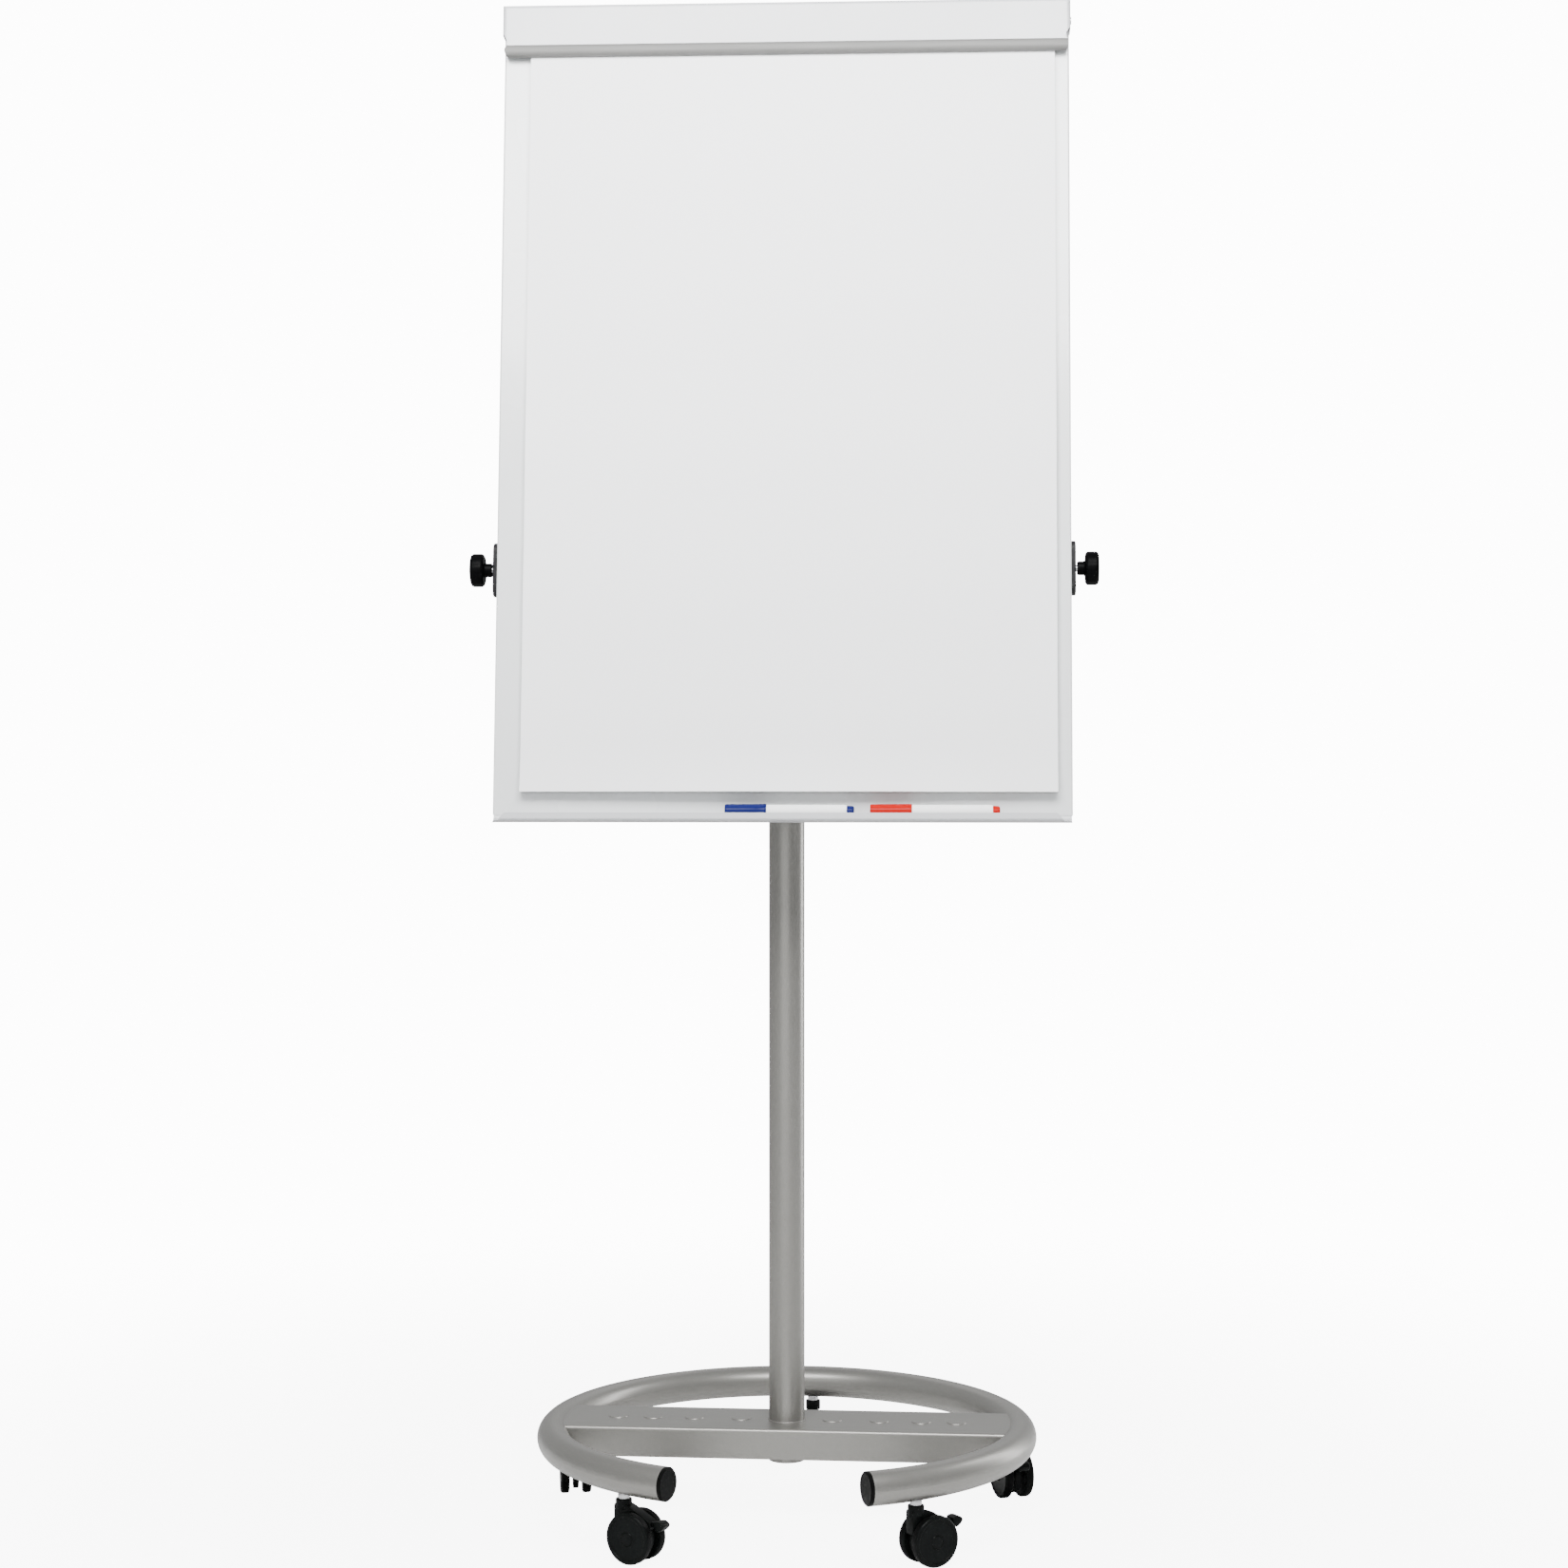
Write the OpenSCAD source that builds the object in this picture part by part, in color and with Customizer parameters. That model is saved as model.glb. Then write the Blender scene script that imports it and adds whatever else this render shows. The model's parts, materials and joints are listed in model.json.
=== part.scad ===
// Mobile flipchart easel: a tilting steel board on a telescopic column with a castored ring base.
// Millimetres. Origin on the floor under the column's axis, +X right, +Y back, +Z up.

/* [Base] */
// Radius of the ring's centre line
ring_r = 291; // [260:1:340]
// Outer diameter of the ring's tube
ring_tube_d = 40; // [36:1:44]
// Height of the ring's centre line
ring_z = 97; // [95:1:110]
// Angle of the ring's open front
ring_gap = 48; // [40:1:56]
// Turn of the base under the head at rest
base_turn = -2; // [-10:0.5:10]
// Depth of the crossbar, front to back
bar_depth = 114; // [100:1:120]
// Height of the crossbar's folded section
bar_h = 37; // [34:1:40]
// Height of the crossbar's top face
bar_top = 113; // [111:1:115]

/* [Column] */
// Outer diameter of the column tube
column_d = 44.5; // [43:0.5:48]
// Height of the column tube's top end
column_top = 897; // [880:1:920]
// Outer diameter of the sliding mast tube
mast_d = 38; // [36:0.5:38]
// Height of the mast tube's top end
mast_top = 1063; // [1060:1:1080]
// Length of the mast tube
mast_len = 586; // [560:1:620]

/* [Board] */
// Width of the board
board_w = 700; // [690:1:720]
// Height of the board's sheet
board_h = 1010.5; // [1006:0.5:1010.5]
// Depth of the board's side flanges
board_d = 24; // [22:0.5:26]
// Backward tilt at rest
board_tilt = 6; // [4:0.5:8]
// Height of the tray's underside at the board's face
board_z = 860.5; // [856:0.5:880]
// Distance of the board's face in front of the column's axis, at the tray
board_front = 130.3; // [126:0.1:134]
// Height of the tilt axis above the tray's underside, along the board
pivot_v = 312; // [305:0.5:315]
// Distance of the tilt axis behind the board's face
pivot_u = 14; // [13:0.5:15]
// Depth of the pen tray in front of the board
tray_d = 40; // [36:1:44]
// Height of the pen tray's front lip
tray_lip = 9.4; // [8.5:0.1:12]
// Inner radius of the bend from the board into the tray
tray_bend = 9; // [6:1:14]

/* [Pad] */
// Width of the paper pad
pad_w = 648; // [600:1:650]
// Length of the paper pad
pad_h = 965; // [950:1:968]
// Thickness of the paper pad
pad_t = 8; // [4:0.5:8]
// Sideways offset of the pad from the board's middle
pad_x = 8; // [0:1:10]

/* [Clamp] */
// Lower edge of the flap, along the board
flap_low = 967.5; // [966.5:0.5:970]
// Upper edge of the flap, along the board
flap_high = 1019.5; // [1018.5:0.5:1021]
// Height of the clamp bar
clamp_h = 14.8; // [13:0.1:15]

/* [Castors] */
// Diameter of a castor's wheel
wheel_d = 60; // [56:1:60]
// Width of one wheel
wheel_w = 11; // [10:0.5:12]
// Distance from the stem's axis back to the axle
castor_trail = 17.5; // [17:0.5:19]
// Place of each castor on the ring, front right first and anticlockwise
castor_angles = [-56, 18.5, 86, 162.5, 232];
// Direction that each castor trails in, in the same order
castor_turn = [34, -69, -93, -80, -30];

/* [Knobs] */
// Diameter of the side knobs
knob_d = 41; // [34:0.5:42]
// Height of the friction plates between knobs and board
plate_h = 67; // [60:1:70]

/* [Hidden] */
$fn = 72;
sheet = 1.2;
bar_sheet = 2;
tube_wall = 2;
emboss_x = [57, 116, 168, 212];
gap = 0.3;
run = 0.05;
bolt_r = 4;
pin_r = 3;
head_r = 5;
lip_bend = 2;

ring_cap_t = 4.6;
ring_cap_edge = 1.6;
ring_plug_len = 10;
bar_bend = 4;
emboss_r = 13;
emboss_h = 0.8;
stem_hole_r = 6.3;
socket_r = 8;
socket_len = 29;

ring_tube_r = ring_tube_d / 2;
column_r = column_d / 2;
column_low = 66;
column_bore = column_r - tube_wall;
mast_r = mast_d / 2;
bush_r = column_bore - run;
bush_len = 40;
bush_drop = 72;
foot_t = 3;
foot_plug = 12;

collar_r = 28;
collar_low = column_top - 34;
collar_high = column_top + 8;
lock_z = column_top - 16;
lock_boss = 38;
lock_boss_r = 11;
collar_edge = 1.5;
mast_gap = 0.6;
flutes = 12;
flute_r = 4.4;
lock_knob_r = 20;
lock_knob_len = 16;

head_plate = [100, 92, 10];
head_plate_front = -66;
sleeve_r = 25;
sleeve_len = 46;
head_bolt_x = 38;
head_bolt_y = 11;
yoke_bar = [35, 8];
ear_x = 338;
ear_t = 6;
ear_r = 12;
nut_r = 7.5;
nut_t = 8;
spacer_r = 9;
pivot_y = -board_front + pivot_v * sin(board_tilt) + pivot_u * cos(board_tilt);
pivot_z = board_z + pivot_v * cos(board_tilt) - pivot_u * sin(board_tilt);

half_w = board_w / 2;
plate_t = 5.4;
plate_d = 23;
hub_r = 8.5;
hub_len = 9;
knob_len = 17;
hub_gap = 1.8;
hub_x = half_w + plate_t + hub_gap;
knob_x = hub_x + hub_len;

peg_r = 4;
peg_x = 170;
peg_v = 984.5;
peg_end = 11.2;
peg_collar_r = 8;
peg_collar_t = 3;
board_bend = 2.5;
rail_v = [92.5, 902.5];
rail_h = 40;
rail_t = 1.5;
pad_low = 37;
flap_front = 13;
flap_back = 16;
flap_pivot = [10, 997.5];
flap_ear_low = 981.5;
flap_bend = 5;
clamp_back = 8.6;
clamp_front = 17.4;
clamp_half = 346;
bar_half = 341;
bar_edge = 6;
bar_wall = 1.5;
bar_plug = 6;
flap_pin_head = [4.5, 1.8];

pen_r = 9;
pen_cap_r = 10;
pen_nose_r = 8;
pen_len = 155;
pen_cap_len = 50;
pen_nose_x = 14;
pen_nib_r = 3;
pen_nib_x = 6;
pen_cap_edge = 1;
pen_cap_end = 4;
blue_pen_x = -66.5;
red_pen_x = 107.5;

wheel_r = wheel_d / 2;
wheel_y = 14;
axle_r = 3;
castor_body_w = 15;
castor_fin_w = 7;
neck_r = 9.5;
neck_top = 72;
neck_low = wheel_d + 1;
stem_collar_r = 7;
stem_r = 5;
stem_low = 58;
stem_high = 108;
lever_pivot = [37, 47];
lever_pin_r = 1.5;
lever_w = 8;
paddle_w = 15;
CASTORS = ["front_right", "mid_right", "rear", "mid_left", "front_left"];
CASTOR_PIECES = ["housing", "axle", "wheel_a", "wheel_b", "brake"];

silver = [0.60, 0.59, 0.57];
white_steel = [0.87, 0.89, 0.88];
black_plastic = [0.06, 0.06, 0.06];
zinc = [0.75, 0.75, 0.76];

// ---- shared shapes ----

// A cylinder along Y, starting at y0
module along_y(r, y0, len) translate([0, y0, 0]) rotate([-90, 0, 0]) cylinder(r = r, h = len);

// A cylinder along X, starting at x0
module along_x(r, x0, len) translate([x0, 0, 0]) rotate([0, 90, 0]) cylinder(r = r, h = len);

// A round tube standing on z0
module tube(r_out, r_in, z0, len) translate([0, 0, z0]) difference() {
    cylinder(r = r_out, h = len);
    translate([0, 0, -1]) cylinder(r = r_in, h = len + 2);
}

// A bent round bar along the ring's centre line, open at the front by the given angle
module ring_sweep(r, open) translate([0, 0, ring_z]) rotate([0, 0, base_turn - 90 + open / 2])
    rotate_extrude(angle = 360 - open) translate([ring_r, 0]) circle(r = r);

// Children placed at each castor's stem
module at_stems() for (a = castor_angles) rotate([0, 0, a]) translate([ring_r, 0, 0]) children();

// Children in the board's own frame: X right, Y behind the face, Z up along the board
module on_board() translate([0, -board_front, board_z]) rotate([-board_tilt, 0, 0]) children();

// Children on the tilt axis, mirrored to the left where side is -1
module at_side(side) translate([0, pivot_y, pivot_z]) scale([side, 1, 1]) children();

// ---- base ----

module base_ring() color(silver) difference() {
    ring_sweep(ring_tube_r, ring_gap);
    ring_sweep(ring_tube_r - tube_wall, ring_gap - 1);
    at_stems() translate([0, 0, ring_z - ring_tube_r - 2]) cylinder(r = stem_hole_r, h = 10);
}

// One end cap on the ring's right end, its plug inside the tube
module ring_end_cap() {
    flat = ring_cap_t - ring_cap_edge;
    cylinder(r = ring_tube_r, h = flat);
    translate([0, 0, flat]) cylinder(r1 = ring_tube_r, r2 = ring_tube_r - ring_cap_edge, h = ring_cap_edge);
    translate([0, 0, -ring_plug_len]) cylinder(r = ring_tube_r - tube_wall - 0.5, h = ring_plug_len + 0.5);
}

module ring_end_caps() color(black_plastic) for (side = [-1, 1])
    rotate([0, 0, base_turn - 90 + side * ring_gap / 2]) translate([ring_r, 0, ring_z])
        rotate([side * 90, 0, 0]) ring_end_cap();

// The channel's section, open below, in the plane across the bar
module bar_section(inset) {
    r = bar_bend - inset;
    w = bar_depth / 2 - inset;
    translate([-w + r, bar_top - inset - r]) circle(r = r);
    translate([w - r, bar_top - inset - r]) circle(r = r);
    translate([-w + r, bar_top - bar_h]) square([2 * (w - r), bar_h - inset]);
    translate([-w, bar_top - bar_h]) square([2 * w, bar_h - inset - r]);
}

module bar_solid(inset) rotate([90, 0, 90]) translate([0, 0, -ring_r])
    linear_extrude(2 * ring_r) bar_section(inset);

module crossbar() color(silver) rotate([0, 0, base_turn]) difference() {
    union() {
        intersection() {
            bar_solid(0);
            cylinder(r = ring_r, h = 200);
        }
        for (side = [-1, 1], x = emboss_x)
            translate([side * x, 0, bar_top - 1])
                cylinder(r1 = emboss_r, r2 = emboss_r - 1, h = 1 + emboss_h);
    }
    translate([0, 0, -1]) bar_solid(bar_sheet);
    ring_sweep(ring_tube_r + 0.1, 0);
    tube(ring_r + 20, ring_r - ring_tube_r - 0.1, ring_z - 40, 40);
    cylinder(r = column_r + run, h = 200);
}

module column_tube() color(silver) difference() {
    tube(column_r, column_bore, column_low, column_top - column_low);
    translate([0, 0, lock_z]) along_y(5, 10, 20);
}

module column_foot() color(silver) {
    translate([0, 0, column_low - foot_t]) cylinder(r = column_r, h = foot_t);
    translate([0, 0, column_low]) cylinder(r = bush_r, h = foot_plug);
}

module column_collar() color(black_plastic) difference() {
    union() {
        translate([0, 0, collar_low]) cylinder(r = collar_r, h = collar_high - collar_low - collar_edge);
        translate([0, 0, collar_high - collar_edge])
            cylinder(r1 = collar_r, r2 = collar_r - collar_edge, h = collar_edge);
        translate([0, 0, lock_z]) along_y(lock_boss_r, 0, lock_boss);
    }
    translate([0, 0, collar_low - 1]) cylinder(r = column_r + run, h = column_top - collar_low + 1);
    cylinder(r = mast_r + mast_gap, h = collar_high + 1);
    translate([0, 0, lock_z]) along_y(bolt_r + run, 0, lock_boss + 1);
}

module upper_bush() color(black_plastic)
    tube(bush_r, mast_r + run, column_top - bush_drop, bush_len);

module stem_sockets() color(black_plastic) at_stems()
    tube(socket_r, stem_r + run, ring_z - socket_len / 2 - 1, socket_len);

module castor_stems() color(zinc) at_stems() {
    translate([0, 0, stem_low]) cylinder(r = stem_r, h = stem_high - stem_low);
    translate([0, 0, neck_top + gap])
        cylinder(r = stem_collar_r, h = ring_z - ring_tube_r - neck_top - 2 * gap);
    translate([0, 0, neck_top + 2]) cylinder(r = stem_hole_r - gap, h = 7);
}

// ---- column lock ----

// A fluted hand knob standing on z = 0, its bore open below
module hand_knob(r, len, bore_len) difference() {
    union() {
        cylinder(r1 = r - 1, r2 = r, h = 1);
        translate([0, 0, 1]) cylinder(r = r, h = len - 3);
        translate([0, 0, len - 2]) cylinder(r1 = r, r2 = r - 2, h = 2);
    }
    for (i = [1 : flutes]) rotate([0, 0, 360 / flutes * i])
        translate([r + flute_r - 1.2, 0, -1]) cylinder(r = flute_r, h = len + 2);
    translate([0, 0, -1]) cylinder(r = bolt_r + run, h = bore_len + 1);
}

module lock_knob() color(black_plastic) translate([0, lock_boss + 2, lock_z])
    rotate([-90, 0, 0]) hand_knob(lock_knob_r, lock_knob_len, 11);

module lock_stud() color(zinc) translate([0, 0, lock_z])
    along_y(bolt_r, mast_r + gap, lock_boss + 12 - mast_r);

// ---- mast and head ----

module mast_tube() color(zinc)
    tube(mast_r, mast_r - tube_wall, mast_top - mast_len, mast_len);

module lower_bush() color(black_plastic) translate([0, 0, mast_top - mast_len]) {
    tube(bush_r, mast_r + run, 0, bush_len);
    translate([0, 0, -4]) cylinder(r = bush_r, h = 3.95);
    translate([0, 0, -1]) tube(bush_r, mast_r, 0, 1);
}

module head_bracket() color(black_plastic) difference() {
    union() {
        translate([-head_plate.x / 2, head_plate_front, mast_top]) cube(head_plate);
        translate([0, 0, mast_top - sleeve_len]) cylinder(r = sleeve_r, h = sleeve_len + 1);
        translate([0, 0, mast_top - sleeve_len / 2]) along_y(8, 0, sleeve_r + 4);
    }
    translate([0, 0, mast_top - sleeve_len - 1]) cylinder(r = mast_r + run, h = sleeve_len + 1.3);
    at_head_bolts() translate([0, 0, mast_top - 1]) cylinder(r = pin_r + 0.2, h = 20);
    translate([0, 0, mast_top - sleeve_len / 2]) along_y(pin_r + run, 0, sleeve_r + 5);
}

module at_head_bolts() for (x = [-head_bolt_x, head_bolt_x], y = [-head_bolt_y, head_bolt_y])
    translate([x, head_plate_front + yoke_bar.x / 2 + y, 0]) children();

module head_bolts() color(zinc) {
    at_head_bolts() translate([0, 0, mast_top + head_plate.z + yoke_bar.y]) {
        translate([0, 0, 1 - head_plate.z - yoke_bar.y])
            cylinder(r = pin_r, h = head_plate.z + yoke_bar.y - 1);
        cylinder(r = head_r, h = 4);
    }
    translate([0, 0, mast_top - sleeve_len / 2]) {
        along_y(pin_r, mast_r + gap, sleeve_r + 6 - mast_r - gap);
        along_y(head_r + 0.5, sleeve_r + 4.5, 4);
    }
}

// One ear's outline in the plane across the yoke, from the crossmember up to the tilt axis
module ear_outline() {
    base_mid = head_plate_front + yoke_bar.x / 2;
    base_z = mast_top + head_plate.z;
    run_y = pivot_y - base_mid;
    run_z = pivot_z - base_z;
    len = norm([run_y, run_z]);
    side = [run_z, -run_y] * ear_r / len;
    translate([pivot_y, pivot_z]) circle(r = ear_r);
    polygon([
        [head_plate_front, base_z],
        [head_plate_front + yoke_bar.x, base_z],
        [pivot_y + side.x, pivot_z + side.y],
        [pivot_y - side.x, pivot_z - side.y]
    ]);
}

module yoke() color(black_plastic) difference() {
    union() {
        translate([-ear_x - ear_t, head_plate_front, mast_top + head_plate.z])
            cube([2 * (ear_x + ear_t), yoke_bar.x, yoke_bar.y]);
        for (x = [-ear_x - ear_t, ear_x])
            translate([x, 0, 0]) rotate([90, 0, 90]) linear_extrude(ear_t) ear_outline();
    }
    translate([0, pivot_y, pivot_z]) along_x(bolt_r + 0.2, -half_w, board_w);
    at_head_bolts() translate([0, 0, mast_top]) cylinder(r = pin_r + 0.2, h = 40);
}

// Welded nuts inside the ears and spacers outside them
module yoke_nuts() color(zinc) for (side = [-1, 1]) at_side(side) difference() {
    union() {
        translate([ear_x - nut_t, 0, 0]) rotate([0, 90, 0]) cylinder(r = nut_r, h = nut_t, $fn = 6);
        along_x(spacer_r, ear_x + ear_t, half_w - sheet - gap - ear_x - ear_t);
    }
    along_x(bolt_r + run, ear_x - nut_t - 1, 30);
}

// ---- tilt knobs ----

module tilt_knob(side) color(black_plastic) at_side(side) {
    translate([knob_x, 0, 0]) rotate([0, 90, 0]) hand_knob(knob_d / 2, knob_len, 12);
    difference() {
        along_x(hub_r, hub_x, hub_len);
        along_x(bolt_r + run, hub_x - 1, hub_len + 2);
    }
}

module tilt_stud(side) color(zinc) at_side(side)
    along_x(bolt_r, ear_x - nut_t - 2, knob_x + 11 - ear_x + nut_t + 2);

// Round-ended plates on the board's sides, in line with the board
module tilt_plates() color([0.24, 0.24, 0.25]) for (side = [-1, 1]) at_side(side)
    rotate([-board_tilt, 0, 0]) difference() {
        union() {
            for (end = [-1, 1]) translate([0, 0, end * (plate_h - plate_d) / 2])
                along_x(plate_d / 2, half_w, plate_t);
            translate([half_w, -plate_d / 2, (plate_d - plate_h) / 2])
                cube([plate_t, plate_d, plate_h - plate_d]);
        }
        along_x(bolt_r + 0.3, half_w - 1, plate_t + 2);
    }

// ---- board ----

// The panel's section across the board: a face with two side flanges, open at the back
module panel_section() difference() {
    panel_block(0);
    panel_block(sheet);
    translate([-half_w, board_d]) square([board_w, 5]);
}

module panel_block(inset) {
    r = board_bend - inset;
    w = half_w - inset;
    translate([-w + r, inset + r]) circle(r = r);
    translate([w - r, inset + r]) circle(r = r);
    translate([-w + r, inset]) square([2 * (w - r), board_d]);
    translate([-w, inset + r]) square([2 * w, board_d + 2]);
}

module board_panel() color(white_steel) on_board() difference() {
    union() {
        translate([0, 0, sheet + tray_bend]) linear_extrude(board_h - sheet - tray_bend) panel_section();
        translate([-half_w + 1, sheet / 2, board_h - sheet]) cube([board_w - 2, board_d - sheet / 2, sheet]);
    }
    translate([0, pivot_u, pivot_v]) along_x(bolt_r + 0.3, -half_w - 1, board_w + 2);
    translate([0, flap_pivot.x, flap_pivot.y]) along_x(pin_r + run, -half_w - 1, board_w + 2);
    for (x = [-peg_x, peg_x]) translate([x + pad_x, 0, peg_v]) along_y(peg_r + run, -1, 4);
}

// A quarter of a ring about (y, z), in the quadrant that the two signs name
module quarter_ring(y, z, r_in, sign_y, sign_z) translate([y, z]) intersection() {
    difference() {
        circle(r = r_in + sheet);
        circle(r = r_in);
    }
    scale([sign_y, sign_z]) square(r_in + sheet);
}

// The tray's section: the board's face bends forward into the floor, and the floor up into the lip
module tray_section() {
    lip_y = -tray_d + sheet + lip_bend;
    quarter_ring(-tray_bend, sheet + tray_bend, tray_bend, 1, -1);
    quarter_ring(lip_y, sheet + lip_bend, lip_bend, -1, -1);
    translate([lip_y, 0]) square([-tray_bend - lip_y, sheet]);
    translate([-tray_d, sheet + lip_bend]) square([sheet, tray_lip - sheet - lip_bend]);
}

// Tray narrowing towards the lip, whose ends slope
module pen_tray() color(white_steel) on_board() difference() {
    w = half_w - sheet - run;
    front = half_w - 12;
    intersection() {
        rotate([90, 0, 90]) translate([0, 0, -half_w]) linear_extrude(board_w) tray_section();
        linear_extrude(2 * tray_lip) polygon([
            [-w, 2], [-w, -tray_bend], [-front, -tray_d], [front, -tray_d], [w, -tray_bend], [w, 2]
        ]);
    }
    for (side = [-1, 1]) scale([side, 1, 1]) translate([0, -tray_d + 4, 0]) rotate([90, 0, 0])
        linear_extrude(5) polygon([
            [front, 0], [front + 2, 0], [front + 2, tray_lip + 1], [front - 8, tray_lip + 1],
            [front - 8, tray_lip]
        ]);
}

module back_rails() color(white_steel) on_board() for (v = rail_v) difference() {
    w = half_w - sheet - run;
    translate([-w, sheet + run, v]) cube([2 * w, board_d - sheet - run, rail_h]);
    translate([-w - 1, sheet, v + rail_t]) cube([2 * w + 2, board_d - sheet - rail_t, rail_h - 2 * rail_t]);
}

module pad_pegs() color(zinc) on_board() for (x = [-peg_x, peg_x])
    translate([x + pad_x, 0, peg_v]) {
        along_y(peg_r, -peg_end, peg_end + sheet + 1);
        along_y(peg_collar_r, sheet + run, peg_collar_t);
    }

module paper_pad() color([0.97, 0.97, 0.96]) on_board() difference() {
    translate([pad_x - pad_w / 2, -pad_t - gap, pad_low]) cube([pad_w, pad_t, pad_h]);
    for (x = [-peg_x, peg_x]) translate([x + pad_x, 0, peg_v]) along_y(peg_r + 1, -pad_t - 1, pad_t + 2);
}

// ---- clamp flap ----

// The space behind the flap's outer or inner skin: its front and top edges and its sides are bent
module flap_block(inset) {
    r = flap_bend - inset;
    w = half_w + gap + sheet - inset;
    front = flap_front - inset;
    top = flap_high - inset;
    intersection() {
        rotate([90, 0, 90]) translate([0, 0, -w]) linear_extrude(2 * w) {
            translate([-front + r, top - r]) circle(r = r);
            translate([-front + r, flap_low - inset])
                square([front - r + flap_back + inset, top - flap_low + inset]);
            translate([-front, flap_low - inset]) square([r, top - r - flap_low + inset]);
        }
        translate([0, 0, flap_low - 5]) linear_extrude(flap_high - flap_low + 10) {
            for (x = [-w + r, w - r]) translate([x, -front + r]) circle(r = r);
            translate([-w + r, -front]) square([2 * (w - r), front + flap_back + inset]);
            translate([-w, -front + r]) square([2 * w, front - r + flap_back + inset]);
        }
    }
}

// Cuts away the sides below the ears, with a sloping corner on each
module flap_side_cut(side) scale([side, 1, 1]) rotate([90, 0, 0])
    translate([0, 0, -flap_back - 1]) linear_extrude(flap_front + flap_back + 2) polygon([
        [clamp_half, flap_low - 1], [half_w + 5, flap_low - 1], [half_w + 5, flap_ear_low],
        [half_w + gap, flap_ear_low], [clamp_half, flap_ear_low - 7]
    ]);

module clamp_flap() color(white_steel) on_board() difference() {
    union() {
        difference() {
            flap_block(0);
            flap_block(sheet);
        }
        translate([-clamp_half, -flap_front + sheet / 2, flap_low]) cube([2 * clamp_half, 4, sheet]);
    }
    for (side = [-1, 1]) flap_side_cut(side);
    translate([0, flap_pivot.x, flap_pivot.y])
        along_x(pin_r + run, -half_w - 5, board_w + 10);
}

// The clamp bar's section: depth and height, its front edges rounded
module clamp_section(inset) {
    r = bar_edge - inset;
    d = clamp_front - inset;
    low = flap_low - clamp_h + inset;
    top = flap_low - inset;
    intersection() {
        union() {
            translate([-d + r, low + r]) circle(r = r);
            translate([-d + r, top - r]) circle(r = r);
            translate([-d + r, low]) square([d, top - low]);
            translate([-d, low + r]) square([r, top - low - 2 * r]);
        }
        translate([-d, low]) square([d - clamp_back - inset, top - low]);
    }
}

module clamp_bar() color([0.67, 0.67, 0.66]) on_board()
    rotate([90, 0, 90]) translate([0, 0, -bar_half]) linear_extrude(2 * bar_half) difference() {
        clamp_section(0);
        clamp_section(bar_wall);
    }

// The cap's outline from the front, its two outer corners of the given radii
module clamp_cap_outline(low_r, high_r) {
    low = flap_low - clamp_h;
    len = clamp_h / 2;
    intersection() {
        union() {
            translate([len - low_r, low + low_r]) circle(r = low_r);
            translate([len - high_r, flap_low - high_r]) circle(r = high_r);
            translate([0, low]) square([len - max(low_r, high_r) + 0.01, clamp_h]);
            translate([0, low + low_r]) square([len, clamp_h - low_r - high_r + 0.01]);
            translate([0, flap_low - clamp_h / 2]) square([len - high_r, clamp_h / 2]);
            translate([0, low]) square([len - low_r, clamp_h / 2]);
        }
        translate([0, low]) square([len, clamp_h]);
    }
}

// One end cap: its outline run through the bar's depth, with a plug inside the bar
module clamp_bar_cap(low_r, high_r) {
    intersection() {
        translate([bar_half, 0, 0]) rotate([90, 0, 0]) linear_extrude(clamp_front)
            clamp_cap_outline(low_r, high_r);
        rotate([90, 0, 90]) linear_extrude(half_w) clamp_section(0);
    }
    rotate([90, 0, 90]) translate([0, 0, bar_half - bar_plug]) linear_extrude(bar_plug + 0.5)
        clamp_section(bar_wall + 0.1);
}

module clamp_bar_caps() color([0.6, 0.6, 0.6]) on_board() {
    clamp_bar_cap(6, 2.5);
    scale([-1, 1, 1]) clamp_bar_cap(7.3, 7.3);
}

module flap_pins() color(zinc) on_board() for (side = [-1, 1]) scale([side, 1, 1])
    translate([0, flap_pivot.x, flap_pivot.y]) {
        along_x(pin_r, half_w - 4, 4 + gap + sheet + 1);
        along_x(flap_pin_head.x, half_w + gap + sheet, flap_pin_head.y);
    }

// ---- pens ----

// Children in a pen's own frame, along X from the cap's closed end, lying in the tray
module at_pen(x) on_board() translate([x, -tray_d / 2 - 0.5, sheet + gap + pen_cap_r]) children();

module pen_body(x) color("white") at_pen(x) {
    along_x(pen_r, pen_cap_len, pen_len - pen_cap_len);
    along_x(pen_nose_r, pen_nose_x, pen_cap_len - pen_nose_x);
    along_x(pen_nib_r, pen_nib_x, pen_nose_x - pen_nib_x + 1);
}

module pen_cap(x, tint) color(tint) at_pen(x) difference() {
    union() {
        along_x(pen_cap_r, pen_cap_edge, pen_cap_len - pen_cap_edge - run);
        rotate([0, 90, 0]) cylinder(r1 = pen_cap_r - pen_cap_edge, r2 = pen_cap_r, h = pen_cap_edge);
    }
    along_x(pen_nose_r + run, pen_cap_end, pen_cap_len);
}

// ---- castors ----

// Children in a castor's own frame: stem on Z, X trailing towards the axle
module at_castor(i) rotate([0, 0, castor_angles[i]]) translate([ring_r, 0, 0])
    rotate([0, 0, castor_turn[i] - castor_angles[i]]) children();

// The side view of the castor body's head, over the wheels' upper half and under the neck
module castor_head() polygon([
    [-neck_r, 38], [-neck_r, neck_low + 4], [neck_r - 1, neck_low + 5], [40, 52],
    [43.5, 48], [42.5, 41], [38, 38]
]);

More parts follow.
